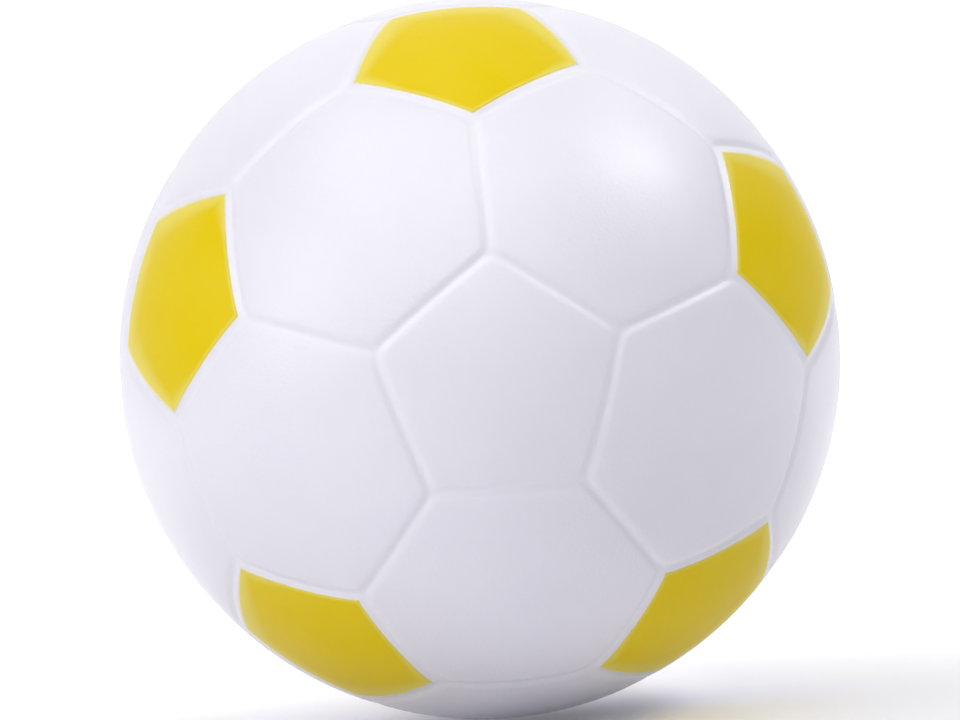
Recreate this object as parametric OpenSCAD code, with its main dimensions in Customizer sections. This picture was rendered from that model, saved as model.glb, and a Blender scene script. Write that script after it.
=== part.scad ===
// A soft foam stress ball moulded with a football pattern of grooves.
// The origin is at the centre of the ball, +Z is up, and -Y runs out through
// the middle of the unpainted panel, which has one corner at the top.

/* [Ball] */
// Diameter over the panels
ball_d = 63; // [60:0.5:70]
// Thickness of the dense skin that forms against the mould
skin_t = 1.6; // [1.2:0.1:2.5]

/* [Panel grooves] */
// Width of a moulded groove at the surface
groove_w = 1.5; // [1.2:0.1:1.5]
// Depth of a moulded groove
groove_depth = 0.45; // [0.45:0.05:0.5]

/* [Paint] */
// Thickness of the paint on a coloured panel
paint_t = 0.1; // [0.05:0.01:0.2]
// Bare strip between the middle of a groove and the edge of the paint
paint_inset = 1; // [1:0.05:1.5]

/* [Hidden] */
// The unpainted panel is number 0, so it has no node of its own.
PAINTED = [1 : 11];
$fn = 96;

ball_r = ball_d / 2;
core_r = ball_r - skin_t;

// The pattern is a truncated icosahedron drawn on the sphere: 12 five-sided
// panels, with 20 six-sided ones between them.
SIDES = 5;
golden = (1 + sqrt(5)) / 2;
// Radius of the sphere through the corners when an edge is 2 long
corner_sphere_r = sqrt(9 * golden + 10);
// From the middle of a five-sided panel to its corner, seen from the centre
corner_angle = asin(1 / (sin(180 / SIDES) * corner_sphere_r));
// From the middle of a five-sided panel to the middle of its side
side_angle = atan(cos(180 / SIDES) * tan(corner_angle));
// Between the middles of two neighbouring five-sided panels
panel_angle = atan(2);

// Middles of the five-sided panels, as directions from the centre. Number 0
// is in front, 1 to 5 go round it, 6 to 10 go round the back one, 11 is at
// the back.
function direction(from_front, turn) =
    [sin(from_front) * sin(turn), -cos(from_front), sin(from_front) * cos(turn)];
PANELS = concat(
    [direction(0, 0)],
    [for (k = [0 : SIDES - 1]) direction(panel_angle, k * 360 / SIDES)],
    [for (k = [0 : SIDES - 1]) direction(180 - panel_angle, (k + 0.5) * 360 / SIDES)],
    [direction(180, 0)]
);
LAST = len(PANELS) - 1;

// Allowance for rounding when two directions are compared
rounding = 0.01;

function unit(v) = v / norm(v);

// True when panels i and j are neighbours, which are panel_angle apart.
function near(i, j) = i != j && PANELS[i] * PANELS[j] > cos(panel_angle) - rounding;

// Direction square to panel i's own, on the side where panel j is.
function towards(i, j) = unit(PANELS[j] - (PANELS[j] * PANELS[i]) * PANELS[i]);

// The corner of panel i that points at panel j.
function corner(i, j) = cos(corner_angle) * PANELS[i] + sin(corner_angle) * towards(i, j);

// Where three grooves meet they open into a round dimple. Each groove stops
// short of the corner, before it would touch its neighbours, at a place where
// the dimple is wider and a little deeper than it is. These three compare the
// gap, and the dimple's width and depth, with the groove.
gap_to_groove_w = 0.31;
dimple_to_groove_w = 1.54;
dimple_to_groove_depth = 1.25;
corner_gap = gap_to_groove_w * groove_w;
dimple_w = dimple_to_groove_w * groove_w;
dimple_depth = dimple_to_groove_depth * groove_depth;

// Radius of a round cutter that leaves a hollow of width w and depth d.
function cutter_r(w, d) = (pow(w / 2, 2) + pow(d, 2)) / (2 * d);
bar_r = cutter_r(groove_w, groove_depth);
bar_path_r = ball_r + bar_r - groove_depth;
dimple_r = cutter_r(dimple_w, dimple_depth);

// Places children with their own X and Z along two directions that are
// square to each other.
module facing(x, z) {
    y = cross(z, x);
    multmatrix([
        [x[0], y[0], z[0], 0],
        [x[1], y[1], z[1], 0],
        [x[2], y[2], z[2], 0],
        [0, 0, 0, 1]
    ])
        children();
}

// One groove between the corners a and b, cut by a round bar bent along the
// ball.
module groove(a, b) {
    span = 2 * asin(norm(b - a) / 2) - 2 * asin(corner_gap / ball_r);
    facing(unit(a + b), unit(cross(a, b)))
        rotate([0, 0, -span / 2])
            rotate_extrude(angle = span)
                translate([bar_path_r, 0])
                    circle(r = bar_r);
}

// All 90 grooves: 30 that join two five-sided panels, then 60 round them.
module grooves() {
    for (i = [0 : LAST], j = [0 : LAST])
        if (i < j && near(i, j))
            groove(corner(i, j), corner(j, i));
    for (i = [0 : LAST], j = [0 : LAST], k = [0 : LAST])
        if (j < k && near(i, j) && near(i, k) && near(j, k))
            groove(corner(i, j), corner(i, k));
}

// The 60 dimples, one at each corner of each five-sided panel.
module dimples() {
    for (i = [0 : LAST], j = [0 : LAST])
        if (near(i, j))
            translate((ball_r + dimple_r - dimple_depth) * corner(i, j))
                sphere(r = dimple_r);
}

WARM_WHITE = [0.96, 0.95, 0.93];
COOL_WHITE = [0.93, 0.93, 0.97];
YELLOW = [0.9, 0.82, 0.12];

// The soft inside of the moulding.
module foam_core() {
    color(WARM_WHITE)
        sphere(r = core_r);
}

// The outside of the same moulding, dense and smooth, with the grooves.
module skin() {
    color(COOL_WHITE)
        difference() {
            sphere(r = ball_r);
            sphere(r = core_r);
            grooves();
            dimples();
        }
}

// A five-sided column about +Z whose sides are cut by planes through the
// ball's centre, moved in by the bare strip. One corner is over +X.
module paint_wedge() {
    reach = ball_r + 2 * paint_t;
    half_w = reach * tan(side_angle) - paint_inset / cos(side_angle);
    cylinder(r1 = 0, r2 = half_w / cos(180 / SIDES), h = reach, $fn = SIDES);
}

// The paint on panel number i.
module yellow_panel(i) {
    neighbour = [for (j = [0 : LAST]) if (near(i, j)) j][0];
    color(YELLOW)
        facing(towards(i, neighbour), PANELS[i])
            intersection() {
                difference() {
                    sphere(r = ball_r + paint_t);
                    sphere(r = ball_r);
                }
                paint_wedge();
            }
}

foam_core();
skin();
for (i = PAINTED)
    yellow_panel(i);
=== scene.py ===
"""Looks for the football-pattern foam stress ball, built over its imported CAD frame.

The ball is one soft moulding with a dense white skin. Grooves divide the skin
into five-sided and six-sided panels, and every five-sided panel but the front
one carries a film of sprayed yellow paint.
"""

import logging
import math
from dataclasses import dataclass, field
from enum import Enum
from typing import Any, Iterator, Optional

import bmesh
import bpy
import numpy as np
from mathutils import Matrix, Vector, noise

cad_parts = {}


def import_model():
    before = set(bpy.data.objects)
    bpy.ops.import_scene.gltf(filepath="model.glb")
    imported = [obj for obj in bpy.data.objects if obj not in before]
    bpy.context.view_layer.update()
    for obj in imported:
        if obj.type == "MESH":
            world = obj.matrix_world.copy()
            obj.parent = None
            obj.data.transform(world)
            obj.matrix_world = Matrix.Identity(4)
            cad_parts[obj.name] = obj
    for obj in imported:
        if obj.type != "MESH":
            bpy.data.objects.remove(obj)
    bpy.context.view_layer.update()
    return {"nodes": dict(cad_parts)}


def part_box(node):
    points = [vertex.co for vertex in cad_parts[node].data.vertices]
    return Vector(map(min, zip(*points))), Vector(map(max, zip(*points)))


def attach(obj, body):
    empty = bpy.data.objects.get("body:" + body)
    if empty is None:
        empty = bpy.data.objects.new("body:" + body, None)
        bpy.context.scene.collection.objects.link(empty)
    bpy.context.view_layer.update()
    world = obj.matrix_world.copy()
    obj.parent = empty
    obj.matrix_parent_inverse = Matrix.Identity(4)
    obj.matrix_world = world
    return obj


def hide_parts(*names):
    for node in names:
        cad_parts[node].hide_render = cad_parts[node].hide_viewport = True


log = logging.getLogger("stress_ball")

MM = 0.001
SIDES = 5
BODY = "root"


class Side(Enum):
    """The ball's named directions, as unit vectors in the row frame."""

    FRONT = (0.0, -1.0, 0.0)
    TOP = (0.0, 0.0, 1.0)

    @property
    def vector(self) -> Vector:
        """The direction as a vector."""
        return Vector(self.value)


# ---------------------------------------------------------------- materials


class Graph:
    """A material's node tree, with one method that makes any node."""

    def __init__(self, name: str) -> None:
        """Starts an empty material.

        Args:
            name: The material's name.
        """
        self.material = bpy.data.materials.new(name)
        self.material.use_nodes = True
        self.tree = self.material.node_tree
        self.tree.nodes.clear()

    def node(self, kind: str, settings: Optional[dict] = None, **sockets: Any) -> bpy.types.Node:
        """Makes a node.

        Args:
            kind: The node's Blender type.
            settings: Properties, set before the sockets.
            **sockets: A value or a link for each socket, its spaces as underscores.

        Returns:
            The new node.
        """
        made = self.tree.nodes.new(kind)
        for key, value in (settings or {}).items():
            setattr(made, key, value)
        for key, value in sockets.items():
            self.feed(made.inputs[key.replace("_", " ")], value)
        return made

    def feed(self, socket: bpy.types.NodeSocket, value: Any) -> None:
        """Links or sets one input.

        Args:
            socket: The input.
            value: A Signal, a socket, or a plain value.
        """
        if isinstance(value, Signal):
            value = value.socket
        if isinstance(value, bpy.types.NodeSocket):
            self.tree.links.new(value, socket)
        else:
            socket.default_value = value

    def signal(self, socket: bpy.types.NodeSocket) -> "Signal":
        """Wraps an output so that it can be used in arithmetic."""
        return Signal(self, socket)

    def math(self, operation: str, *values: Any) -> "Signal":
        """Adds a Math node.

        Args:
            operation: The node's operation.
            *values: Its inputs in order.

        Returns:
            The node's result.
        """
        made = self.node("ShaderNodeMath", {"operation": operation})
        for socket, value in zip(made.inputs, values):
            self.feed(socket, value)
        return Signal(self, made.outputs[0])

    def mix(self, share: Any, low: Any, high: Any) -> bpy.types.NodeSocket:
        """Mixes two colours.

        Args:
            share: How much of the second, from 0 to 1.
            low: The first colour.
            high: The second colour.

        Returns:
            The mixed colour's socket.
        """
        made = self.node("ShaderNodeMix", {"data_type": "RGBA"})
        self.feed(made.inputs["Factor"], share)
        self.feed(made.inputs[6], low)
        self.feed(made.inputs[7], high)
        return made.outputs[2]

    def noise(self, scale_mm: float, detail: float = 2.0, rough: float = 0.5) -> "Signal":
        """Solid noise on Object coordinates.

        Args:
            scale_mm: The size of its largest lumps, in millimetres.
            detail: Octaves.
            rough: How strong the finer octaves are.

        Returns:
            The noise, centred near 0.5.
        """
        place = self.node("ShaderNodeTexCoord").outputs["Object"]
        made = self.node(
            "ShaderNodeTexNoise",
            {"noise_dimensions": "3D"},
            Vector=place,
            Scale=1.0 / (scale_mm * MM),
            Detail=detail,
            Roughness=rough,
        )
        return Signal(self, made.outputs[0])

    def attribute(self, name: str) -> "Signal":
        """A number stored on the mesh's points."""
        made = self.node("ShaderNodeAttribute", {"attribute_name": name})
        return Signal(self, made.outputs["Fac"])

    def bump(self, height: Any, depth_mm: float, under: Any = None) -> bpy.types.NodeSocket:
        """Turns a height into a bent normal.

        Args:
            height: The height, from 0 to 1.
            depth_mm: How deep a height of 1 is, in millimetres.
            under: A normal that this one is laid over.

        Returns:
            The normal's socket.
        """
        made = self.node("ShaderNodeBump", Strength=1.0, Distance=depth_mm * MM, Height=height)
        if under is not None:
            self.feed(made.inputs["Normal"], under)
        return made.outputs["Normal"]


class Signal:
    """A number in a shader, with the operators that the finishes use."""

    def __init__(self, graph: Graph, socket: bpy.types.NodeSocket) -> None:
        """Wraps an output socket.

        Args:
            graph: The tree it belongs to.
            socket: The output.
        """
        self.graph = graph
        self.socket = socket

    def __add__(self, other: Any) -> "Signal":
        """Adds."""
        return self.graph.math("ADD", self, other)

    __radd__ = __add__

    def __mul__(self, other: Any) -> "Signal":
        """Multiplies."""
        return self.graph.math("MULTIPLY", self, other)

    def __sub__(self, other: Any) -> "Signal":
        """Takes other away."""
        return self.graph.math("SUBTRACT", self, other)

    def __rsub__(self, other: Any) -> "Signal":
        """Takes this away from other."""
        return self.graph.math("SUBTRACT", other, self)

    def step(self, low: float, high: float) -> "Signal":
        """Rises smoothly from 0 at low to 1 at high."""
        made = self.graph.node(
            "ShaderNodeMapRange",
            {"interpolation_type": "SMOOTHSTEP"},
            Value=self,
            From_Min=low,
            From_Max=high,
        )
        return Signal(self.graph, made.outputs[0])


Colour = tuple[float, float, float, float]


@dataclass(frozen=True)
class FoamSkinFinish:
    """White self-skinned foam: satin, with a fine pebbled grain, and a lighter tone painted in the
    grooves to lift their shade.
    """

    high: Colour = (0.84, 0.825, 0.905, 1.0)
    low: Colour = (0.828, 0.813, 0.895, 1.0)
    # Painted light: a slightly lighter tone in the grooves, lifting their shade.
    painted_groove_light: Colour = (0.85, 0.835, 0.91, 1.0)
    tone_mm: float = 9.0
    roughness: float = 0.35
    rougher_in_groove: float = 0.06
    patch_mm: float = 4.0
    patch_roughness: float = 0.10
    grain_mm: float = 0.28
    grain_depth_mm: float = 0.034
    grain_roughness: float = 0.12
    pore_mm: float = 1.1
    pore_depth_mm: float = 0.010
    softness: float = 0.12
    glow_mm: float = 0.8
    glow_tint: tuple[float, float, float] = (1.0, 0.9, 0.95)

    def shader(self, g: Graph) -> bpy.types.NodeSocket:
        """Builds the finish.

        Args:
            g: The material's tree.

        Returns:
            The shader's output.
        """
        tone = g.noise(self.tone_mm, 3.0).step(0.35, 0.65)
        groove = g.attribute("groove")
        grain = g.noise(self.grain_mm, 3.0, 0.6)
        pores = g.noise(self.pore_mm, 2.0, 0.5)
        patches = (g.noise(self.patch_mm, 2.0) - 0.5) * self.patch_roughness
        rough = self.roughness + patches + groove * self.rougher_in_groove
        shader = g.node(
            "ShaderNodeBsdfPrincipled",
            # Painted light: the grooves' colour is lighter than the panels', lifting their shade.
            Base_Color=g.mix(groove, g.mix(tone, self.low, self.high), self.painted_groove_light),
            Roughness=rough + (grain - 0.5) * self.grain_roughness,
            Normal=g.bump(grain, self.grain_depth_mm, g.bump(pores, self.pore_depth_mm)),
            Subsurface_Weight=self.softness,
            Subsurface_Radius=self.glow_tint,
            Subsurface_Scale=self.glow_mm * MM,
        )
        return shader.outputs[0]


@dataclass(frozen=True)
class PaintFinish:
    """Flexible yellow paint, sprayed on through a mask: paler and bluer towards the panels' edges,
    where the cover is low.

    The colour runs from pale_yellow to thick as the cover goes from pale_until to thick_at.
    """

    thick: Colour = (0.78, 0.575, 0.002, 1.0)
    # A paler, bluer yellow, used where the cover is low, towards the panels' edges.
    pale_yellow: Colour = (0.82, 0.69, 0.12, 1.0)
    pale_until: float = 0.4
    thick_at: float = 2.8
    mottle: float = 0.12
    mottle_mm: float = 6.0
    roughness: float = 0.46
    patch_mm: float = 3.0
    patch_roughness: float = 0.10
    shine: float = 0.11
    grain_mm: float = 0.28
    grain_depth_mm: float = 0.028
    grain_roughness: float = 0.10

    def shader(self, g: Graph) -> bpy.types.NodeSocket:
        """Builds the finish.

        Args:
            g: The material's tree.

        Returns:
            The shader's output.
        """
        mottled = 1 - g.noise(self.mottle_mm, 3.0).step(0.3, 0.7) * self.mottle
        thickness = g.attribute("cover").step(self.pale_until, self.thick_at) * mottled
        grain = g.noise(self.grain_mm, 3.0, 0.6)
        patches = (g.noise(self.patch_mm, 2.0) - 0.5) * self.patch_roughness
        shader = g.node(
            "ShaderNodeBsdfPrincipled",
            # Paler and bluer yellow where the cover is low.
            Base_Color=g.mix(thickness, self.pale_yellow, self.thick),
            Roughness=self.roughness + patches + (grain - 0.5) * self.grain_roughness,
            Specular_IOR_Level=self.shine,
            Normal=g.bump(grain, self.grain_depth_mm),
        )
        return shader.outputs[0]


@dataclass(frozen=True)
class SprayedFinish:
    """White foam with yellow paint over it, which thins to a dusty edge.

    The foam starts to be hidden where the cover is bare, and is hidden at solid.
    """

    foam: FoamSkinFinish
    paint: PaintFinish = PaintFinish()
    speckle_mm: float = 0.22
    speckle: float = 0.35
    bare: float = 0.10
    solid: float = 0.62

    def material(self, name: str) -> bpy.types.Material:
        """Builds the finish. The mesh's "cover" is how much paint there is, 1 hiding the foam.

        Args:
            name: The material's name.

        Returns:
            The material.
        """
        g = Graph(name)
        cover = g.attribute("cover")
        specks = (g.noise(self.speckle_mm, 2.0, 0.7) - 0.5) * self.speckle
        painted = (cover + specks * (1 - cover)).step(self.bare, self.solid)
        both = g.node("ShaderNodeMixShader", Fac=painted)
        g.feed(both.inputs[1], self.foam.shader(g))
        g.feed(both.inputs[2], self.paint.shader(g))
        g.node("ShaderNodeOutputMaterial", Surface=both.outputs[0])
        return g.material


@dataclass(frozen=True)
class OpenFoamFinish:
    """The soft foam inside: matte, warm white, full of small open cells, with painted shade
    darkening their hollows.
    """

    wall: Colour = (0.84, 0.81, 0.74, 1.0)
    # Painted shade: the darker colour in the hollows of the open cells.
    shaded_cell: Colour = (0.62, 0.58, 0.50, 1.0)
    cell_mm: float = 0.6
    cell_depth_mm: float = 0.15
    roughness: float = 0.9

    def material(self) -> bpy.types.Material:
        """Builds the finish.

        Returns:
            The material.
        """
        g = Graph("open_foam")
        place = g.node("ShaderNodeTexCoord").outputs["Object"]
        cells = g.node("ShaderNodeTexVoronoi", Vector=place, Scale=1.0 / (self.cell_mm * MM))
        depth = g.signal(cells.outputs["Distance"]).step(0.1, 0.7)
        shader = g.node(
            "ShaderNodeBsdfPrincipled",
            # Painted shade: the cells' hollows darken towards their middles.
            Base_Color=g.mix(depth, self.shaded_cell, self.wall),
            Roughness=self.roughness,
            Normal=g.bump(depth, self.cell_depth_mm),
        )
        g.node("ShaderNodeOutputMaterial", Surface=shader.outputs[0])
        return g.material


@dataclass(frozen=True)
class PaperFinish:
    """The seamless pale studio paper, which glows behind the ball.

    The glow grows from glow_from to glow_to, metres behind the ball's centre.
    """

    colour: Colour = (0.82, 0.82, 0.85, 1.0)
    front_glow: Colour = (0.0, 0.0, 0.0, 1.0)
    back_glow: Colour = (0.78, 0.78, 0.79, 1.0)
    glow_from: float = -0.025
    glow_to: float = 0.08
    roughness: float = 0.85
    fibre_mm: float = 1.5
    fibre_roughness: float = 0.1

    def material(self) -> bpy.types.Material:
        """Builds the finish.

        Returns:
            The material.
        """
        g = Graph("studio_paper")
        place = g.node("ShaderNodeTexCoord").outputs["Object"]
        back = g.signal(g.node("ShaderNodeSeparateXYZ", Vector=place).outputs["Y"])
        glow = back.step(self.glow_from, self.glow_to)
        shader = g.node(
            "ShaderNodeBsdfPrincipled",
            Base_Color=self.colour,
            Roughness=self.roughness + (g.noise(self.fibre_mm, 3.0) - 0.5) * self.fibre_roughness,
            Emission_Color=g.mix(glow, self.front_glow, self.back_glow),
            Emission_Strength=1.0,
        )
        g.node("ShaderNodeOutputMaterial", Surface=shader.outputs[0])
        return g.material


# ------------------------------------------------------------------ pattern


@dataclass
class FootballPattern:
    """A truncated icosahedron on the unit sphere, a five-sided panel in front."""

    neighbour_angle: float = math.atan(2)
    rounding: float = 0.01
    panels: np.ndarray = field(init=False)
    arcs: np.ndarray = field(init=False)
    corner_angle: float = field(init=False)

    def __post_init__(self) -> None:
        """Works out the panels' middles and the 90 arcs between the corners."""
        step = self.neighbour_angle
        turn = 2 * math.pi / SIDES
        front_ring = [self.direction(step, k * turn) for k in range(SIDES)]
        back_ring = [self.direction(math.pi - step, (k + 0.5) * turn) for k in range(SIDES)]
        middles = [self.direction(0, 0), *front_ring, *back_ring, self.direction(math.pi, 0)]
        self.panels = np.array(middles)
        golden = (1 + math.sqrt(5)) / 2
        corner_sphere = math.sqrt(9 * golden + 10)
        self.corner_angle = math.asin(1 / (math.sin(math.pi / SIDES) * corner_sphere))
        self.arcs = np.array(list(self._arcs()))

    @staticmethod
    def direction(from_front: float, turn: float) -> tuple[float, float, float]:
        """A direction so far from the front and so far round it from the top."""
        around = math.sin(from_front)
        return around * math.sin(turn), -math.cos(from_front), around * math.cos(turn)

    def near(self, i: int, j: int) -> bool:
        """Whether two five-sided panels are neighbours."""
        least = math.cos(self.neighbour_angle) - self.rounding
        return i != j and float(self.panels[i] @ self.panels[j]) > least

    def corner(self, i: int, j: int) -> np.ndarray:
        """The corner of panel i that points at panel j."""
        side = self.panels[j] - (self.panels[j] @ self.panels[i]) * self.panels[i]
        side = side / np.linalg.norm(side)
        return math.cos(self.corner_angle) * self.panels[i] + math.sin(self.corner_angle) * side

    def _arcs(self) -> Iterator[tuple[np.ndarray, np.ndarray]]:
        """Finds the two ends of each groove.

        Returns:
            An iterator of pairs of corners.
        """
        count = range(len(self.panels))
        for i in count:
            around = [j for j in count if self.near(i, j)]
            for j in around:
                if i < j:
                    yield self.corner(i, j), self.corner(j, i)
            for j in around:
                for k in around:
                    if j < k and self.near(j, k):
                        yield self.corner(i, j), self.corner(i, k)

    def arc_distances(self, points: np.ndarray) -> np.ndarray:
        """Angles from points to the arcs.

        Args:
            points: Unit directions, one a row.

        Returns:
            The angle to each arc, in radians, one row a point.
        """
        out = np.empty((len(points), len(self.arcs)), np.float32)
        for n, (a, b) in enumerate(self.arcs):
            pole = np.cross(a, b)
            pole = pole / np.linalg.norm(pole)
            off = np.abs(np.arcsin(np.clip(points @ pole, -1, 1)))
            middle = (a + b) / np.linalg.norm(a + b)
            along = np.arctan2(points @ np.cross(pole, middle), points @ middle)
            half = math.acos(float(np.clip(a @ middle, -1, 1)))
            ends = np.minimum(self._angle(points, a), self._angle(points, b))
            out[:, n] = np.where(np.abs(along) <= half, off, ends)
        return out

    @staticmethod
    def _angle(points: np.ndarray, to: np.ndarray) -> np.ndarray:
        """Angles between unit directions and one other."""
        return np.arccos(np.clip(points @ to, -1, 1))


# ------------------------------------------------------------------- pieces


@dataclass(frozen=True)
class Spray:
    """How far the sprayed paint reaches towards the grooves.

    The paint is sprayed from the front and from the back, so it lands at a slant
    near the ball's waist and leaves a dusty edge there. It starts at start from
    the groove and hides the foam crisp or dusty further in.
    """

    start: float = 0.50 * MM
    crisp: float = 0.22 * MM
    dusty: float = 2.3 * MM
    slant_from: float = 0.40
    slant_to: float = 0.88
    most: float = 3.0

    def cover(self, gap: float, out: Vector) -> float:
        """How thick the paint is at a point of a painted panel.

        Args:
            gap: Distance from the nearest groove.
            out: The point's direction.

        Returns:
            The paint's cover, where 1 hides the foam and more is a deeper yellow.
        """
        slant = 1 - abs(out.dot(Side.FRONT.vector))
        share = (slant - self.slant_from) / (self.slant_to - self.slant_from)
        soft = self.crisp + (self.dusty - self.crisp) * min(1.0, max(0.0, share))
        return min(self.most, max(0.0, (gap - self.start) / soft))


@dataclass
class BallShape:
    """The moulding's outer surface: panels, pillows and grooves.

    Each panel is divided in rings: first_rings close ones that are ring_step
    apart, then outer_rings that widen, up to middle_reach from its middle.
    """

    radius: float
    pattern: FootballPattern
    spray: Spray = Spray()
    groove_depth: float = 0.22 * MM
    groove_spread: float = 0.31 * MM
    pillow: float = 0.10 * MM
    pillow_reach: float = 2.2 * MM
    waver: float = 0.03 * MM
    waver_size: float = 9.0 * MM
    first_rings: int = 11
    ring_step: float = 0.13 * MM
    outer_rings: int = 7
    middle_reach: float = 1.0 * MM
    slices: int = 28

    def sphere_mesh(self) -> bmesh.types.BMesh:
        """A unit ball whose mesh follows the pattern's panels.

        Returns:
            The mesh, with one face for each five-sided and six-sided panel.
        """
        bm = bmesh.new()
        bmesh.ops.create_icosphere(bm, subdivisions=1, radius=1.0)
        self._turn_to_pattern(bm)
        edge = bm.edges[:][0].calc_length()
        bmesh.ops.bevel(
            bm,
            geom=bm.verts[:],
            offset=edge / 3,
            offset_type="OFFSET",
            affect="VERTICES",
            segments=1,
            profile=0.5,
            material=-1,
        )
        grow = 1 / bm.verts[:][0].co.length
        bmesh.ops.scale(bm, vec=(grow, grow, grow), verts=bm.verts[:])
        return bm

    def _turn_to_pattern(self, bm: bmesh.types.BMesh) -> None:
        """Turns the icosahedron so that its points are the five-sided panels.

        Args:
            bm: The icosahedron.
        """
        first, second = self.pattern.panels[0], self.pattern.panels[1]
        tip = bm.verts[:][0]
        other = tip.link_edges[0].other_vert(tip)
        had = self._axes(tip.co.normalized(), other.co.normalized())
        want = self._axes(Vector(first), Vector(second))
        turn = (want @ had.transposed()).to_4x4()
        bmesh.ops.transform(bm, matrix=turn, verts=bm.verts[:])

    @staticmethod
    def _axes(main: Vector, aside: Vector) -> Matrix:
        """Three square axes, the first along main and the second towards aside."""
        across = (aside - aside.dot(main) * main).normalized()
        return Matrix((main, across, main.cross(across))).transposed()

    def divided_mesh(self) -> bmesh.types.BMesh:
        """Divides each panel in rings that follow its sides, close together at the groove.

        Returns:
            The mesh on the unit sphere, with the face layer "five", which holds 1 on
            five-sided panels.
        """
        bm = self.sphere_mesh()
        five = bm.faces.layers.int.new("five")
        for face in bm.faces:
            face[five] = int(len(face.verts) == SIDES)
        along = set(bm.edges[:])
        for sides in (SIDES, SIDES + 1):
            inner = [face for face in bm.faces if len(face.verts) == sides]
            for step in self._ring_steps(sides):
                bmesh.ops.inset_individual(
                    bm, faces=inner, thickness=step / self.radius, use_even_offset=True
                )
                for face in inner:
                    along.update(face.edges)
        bmesh.ops.subdivide_edges(
            bm, edges=list(along), cuts=self.slices - 1, use_grid_fill=True
        )
        middles = [face for face in bm.faces if len(face.verts) > 4]
        bmesh.ops.poke(bm, faces=middles)
        for vert in bm.verts:
            vert.co.normalize()
        return bm

    def _ring_steps(self, sides: int) -> list[float]:
        """Spaces the rings of one kind of panel.

        Args:
            sides: The panel's number of sides.

        Returns:
            How far apart the rings are, in metres, from the groove inwards.
        """
        side = 2 * math.sin(math.pi / SIDES) * math.sin(self.pattern.corner_angle) * self.radius
        apothem = side / (2 * math.tan(math.pi / sides))
        left = apothem - self.middle_reach - self.first_rings * self.ring_step
        parts = range(1, self.outer_rings + 1)
        growing = [left * part / sum(parts) for part in parts]
        return [self.ring_step] * self.first_rings + growing

    def surface(self) -> bmesh.types.BMesh:
        """Shapes the ball: pillows the panels, sinks the grooves, adds a slight waver.

        Returns:
            The mesh in metres, with the point layers "groove", "gap" and "cover".
        """
        bm = self.divided_mesh()
        groove = bm.verts.layers.float.new("groove")
        gap = bm.verts.layers.float.new("gap")
        cover = bm.verts.layers.float.new("cover")
        painted = self._painted(bm)
        points = np.array([vert.co[:] for vert in bm.verts])
        away = self.pattern.arc_distances(points) * self.radius
        sunk = self._together(np.exp(-((away / self.groove_spread) ** 2) / 2))
        soft = np.sqrt(away**2 + self.groove_spread**2)
        low = self._together(np.exp(-soft / self.pillow_reach))
        nearest = away.min(axis=1)
        for vert, deep, down, near in zip(bm.verts, sunk, low, nearest):
            out = vert.co.copy()
            lump = 0.5 + 0.5 * noise.noise(out * self.radius / self.waver_size)
            inward = self.groove_depth * deep + self.pillow * down + self.waver * lump
            vert[groove] = float(deep)
            vert[gap] = float(near)
            if vert in painted:
                vert[cover] = self.spray.cover(float(near), out)
            vert.co = out * (self.radius - float(inward))
        return bm

    def _painted(self, bm: bmesh.types.BMesh) -> set[bmesh.types.BMVert]:
        """Finds the painted panels' points.

        Args:
            bm: The mesh on the unit sphere.

        Returns:
            The points of every five-sided panel but the front one.
        """
        five = bm.faces.layers.int["five"]
        front = math.cos(self.pattern.corner_angle)
        found = set()
        for face in bm.faces:
            if face[five] and face.calc_center_median().dot(Side.FRONT.vector) < front:
                found.update(face.verts)
        return found

    @staticmethod
    def _together(parts: np.ndarray) -> np.ndarray:
        """Joins overlapping hollows smoothly, one column each, with no crease between."""
        return 1 - np.prod(1 - np.clip(parts, 0, 1), axis=1)


def object_from(bm: bmesh.types.BMesh, name: str, material: bpy.types.Material) -> bpy.types.Object:
    """Makes a smooth-shaded object at the origin from a mesh.

    Args:
        bm: The mesh, which is freed.
        name: The object's name.
        material: Its finish.

    Returns:
        The object, linked to the scene.
    """
    for face in bm.faces:
        face.smooth = True
    mesh = bpy.data.meshes.new(name)
    bm.to_mesh(mesh)
    bm.free()
    made = bpy.data.objects.new(name, mesh)
    bpy.context.scene.collection.objects.link(made)
    mesh.materials.append(material)
    return made


@dataclass
class Moulding:
    """The soft moulding: its grooved white skin, and the foam inside it."""

    finish: SprayedFinish = SprayedFinish(FoamSkinFinish())
    core_finish: OpenFoamFinish = OpenFoamFinish()
    fill: float = 1.0

    def build(self, surface: bmesh.types.BMesh) -> bpy.types.Object:
        """Builds the skin in place of its plain CAD solid.

        Args:
            surface: The ball's surface.

        Returns:
            The skin.
        """
        skin = object_from(surface.copy(), "ball_skin", self.finish.material("foam_skin"))
        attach(skin, BODY)
        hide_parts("skin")
        return skin

    def dress_core(self, core: bpy.types.Object) -> None:
        """Gives the CAD node inside the ball its foam finish.

        Args:
            core: The node's object.
        """
        finish = self.core_finish.material()
        for slot in core.material_slots:
            slot.material = finish


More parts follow.
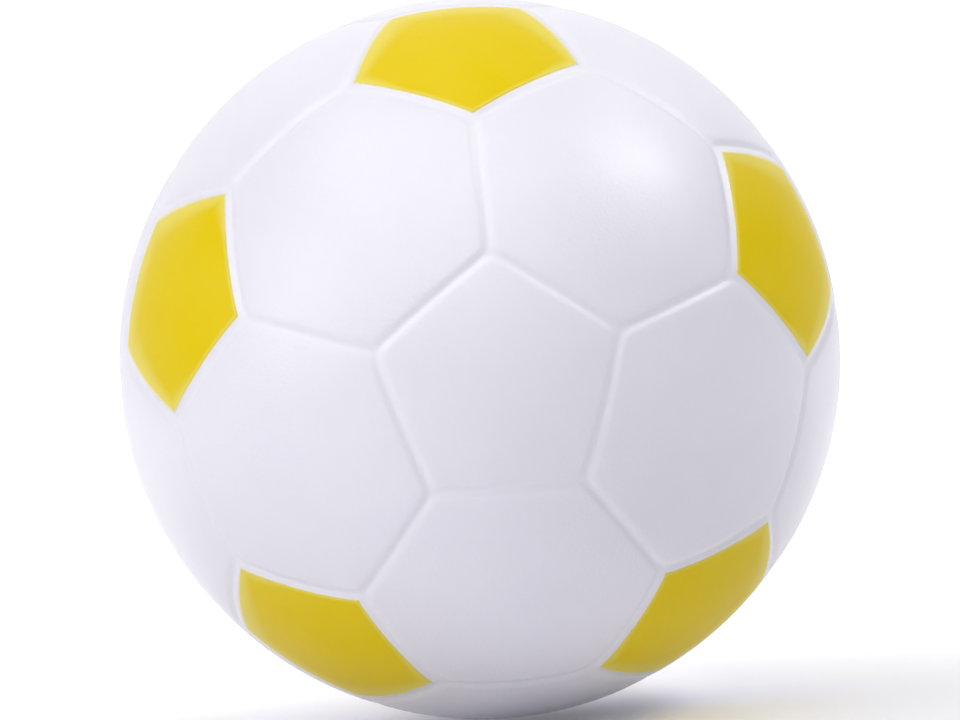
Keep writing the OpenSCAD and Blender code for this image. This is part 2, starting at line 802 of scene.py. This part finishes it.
@dataclass
class PaintedPanels:
    """The films of yellow paint on the five-sided panels."""

    pattern: FootballPattern
    finish: SprayedFinish = SprayedFinish(FoamSkinFinish(softness=0.0))
    lift: float = 0.006 * MM
    thickness: float = 0.08 * MM
    first_edge: float = 0.585 * MM

    def build(self, surface: bmesh.types.BMesh) -> list[bpy.types.Object]:
        """Builds every film in place of its plain CAD solid.

        Args:
            surface: The ball's surface.

        Returns:
            The films.
        """
        material = self.finish.material("yellow_paint")
        middles = list(enumerate(self.pattern.panels))
        return [self._film(surface.copy(), i, Vector(middle), material) for i, middle in middles[1:]]

    def _film(
        self, bm: bmesh.types.BMesh, number: int, middle: Vector, material: bpy.types.Material
    ) -> bpy.types.Object:
        """Lifts one panel's film off the ball's surface.

        Args:
            bm: A copy of the ball's surface, which the film is cut from.
            number: The panel's number, as in its CAD node's name.
            middle: The direction of the panel's middle.
            material: The paint.

        Returns:
            The film.
        """
        five = bm.faces.layers.int["five"]
        gap = bm.verts.layers.float["gap"]
        within = math.cos(self.pattern.corner_angle)
        other = [
            face
            for face in bm.faces
            if not face[five]
            or face.calc_center_median().normalized().dot(middle) < within
            or min(vert[gap] for vert in face.verts) < self.first_edge
        ]
        bmesh.ops.delete(bm, geom=other, context="FACES")
        for vert in bm.verts:
            vert.co += vert.co.normalized() * self.lift
        bmesh.ops.solidify(bm, geom=bm.faces[:], thickness=self.thickness)
        film = object_from(bm, f"paint_film_{number}", material)
        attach(film, BODY)
        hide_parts(f"yellow_panel_{number}")
        return film


# ------------------------------------------------------------------- studio


@dataclass(frozen=True)
class SoftBox:
    """A square studio light. Angles are seen from the ball: azimuth 0 is in front."""

    name: str
    azimuth: float
    elevation: float
    power: float
    distance: float = 0.45
    size: float = 0.24

    def build(self) -> bpy.types.Object:
        """Hangs the light, facing the ball.

        Returns:
            The light.
        """
        data = bpy.data.lights.new(self.name, "AREA")
        data.size = self.size
        data.energy = self.power
        light = bpy.data.objects.new(self.name, data)
        across, up = math.radians(self.azimuth), math.radians(self.elevation)
        level = math.cos(up)
        out = Vector((math.sin(across) * level, -math.cos(across) * level, math.sin(up)))
        light.location = out * self.distance
        light.rotation_euler = out.to_track_quat("Z", "Y").to_euler()
        bpy.context.scene.collection.objects.link(light)
        return light


@dataclass
class Studio:
    """Pale paper that curves up behind, soft boxes and the camera."""

    radius: float
    paper: PaperFinish = PaperFinish()
    boxes: tuple[SoftBox, ...] = (
        SoftBox("key", -33, 50, 4.02, distance=0.6, size=0.9),
        SoftBox("left_fill", -63, 18, 0.354),
        SoftBox("upper_right", 80, 46, 0.62, size=0.13),
        SoftBox("right_edge", 117, 45, 0.24),
        SoftBox("top", 0, 80, 0.215, size=0.5),
    )
    sky: float = 0.0
    paper_reach: float = 1.5
    paper_height: float = 2.0
    paper_bend: float = 0.5
    bend_segments: int = 12
    camera_azimuth: float = -2.9
    camera_elevation: float = 4.0
    camera_roll: float = 4.75
    camera_reach: float = 16.4
    lens: float = 221.8
    sensor: float = 36.0
    aim_down: float = 0.14 * MM

    def build(self) -> None:
        """Builds the paper, lights, dark sky and camera."""
        self._paper()
        for box in self.boxes:
            box.build()
        world = bpy.data.worlds.new("studio")
        world.use_nodes = True
        world.node_tree.nodes["Background"].inputs["Strength"].default_value = self.sky
        bpy.context.scene.world = world
        bpy.context.scene.view_settings.view_transform = "Standard"
        self._camera()

    def _paper(self) -> None:
        """Lays the paper under the ball and bends it up behind."""
        bm = bmesh.new()
        bmesh.ops.create_grid(bm, x_segments=1, y_segments=1, size=self.paper_reach)
        bmesh.ops.translate(bm, verts=bm.verts[:], vec=(0.0, 0.0, -self.radius))
        far = [edge for edge in bm.edges if all(vert.co.y > 0 for vert in edge.verts)]
        raised = bmesh.ops.extrude_edge_only(bm, edges=far)["geom"]
        wall = [part for part in raised if isinstance(part, bmesh.types.BMVert)]
        bmesh.ops.translate(bm, verts=wall, vec=(0.0, 0.0, self.paper_height))
        bend = [edge for edge in far if edge.is_valid]
        bmesh.ops.bevel(
            bm,
            geom=bend,
            offset=self.paper_bend,
            segments=self.bend_segments,
            affect="EDGES",
            profile=0.5,
            material=-1,
        )
        object_from(bm, "paper", self.paper.material())

    def _camera(self) -> None:
        """Places the camera a long way off, a little to the left and above."""
        azimuth, up = math.radians(self.camera_azimuth), math.radians(self.camera_elevation)
        level = math.cos(up)
        away = Vector((math.sin(azimuth) * level, -math.cos(azimuth) * level, math.sin(up)))
        data = bpy.data.cameras.new("camera")
        data.lens = self.lens
        data.sensor_width = self.sensor
        camera = bpy.data.objects.new("camera", data)
        facing = away.to_track_quat("Z", "Y").to_matrix().to_4x4()
        roll = Matrix.Rotation(-math.radians(self.camera_roll), 4, "Z")
        place = away * self.camera_reach * self.radius - Side.TOP.vector * self.aim_down
        camera.matrix_world = Matrix.Translation(place) @ facing @ roll
        bpy.context.scene.collection.objects.link(camera)
        bpy.context.scene.camera = camera


def main() -> None:
    """Builds the ball and its studio."""
    logging.basicConfig(level=logging.INFO, format="%(message)s")
    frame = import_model()
    low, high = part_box("skin")
    radius = (high[0] - low[0]) / 2
    pattern = FootballPattern()
    surface = BallShape(radius, pattern).surface()
    moulding = Moulding()
    skin = moulding.build(surface)
    log.info("%s: %d faces", skin.name, len(skin.data.polygons))
    moulding.dress_core(frame["nodes"]["foam_core"])
    for film in PaintedPanels(pattern).build(surface):
        log.info("%s: %d faces", film.name, len(film.data.polygons))
    surface.free()
    Studio(radius).build()
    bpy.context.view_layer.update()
    log.info("boxes written")


if __name__ == "__main__":
    main()
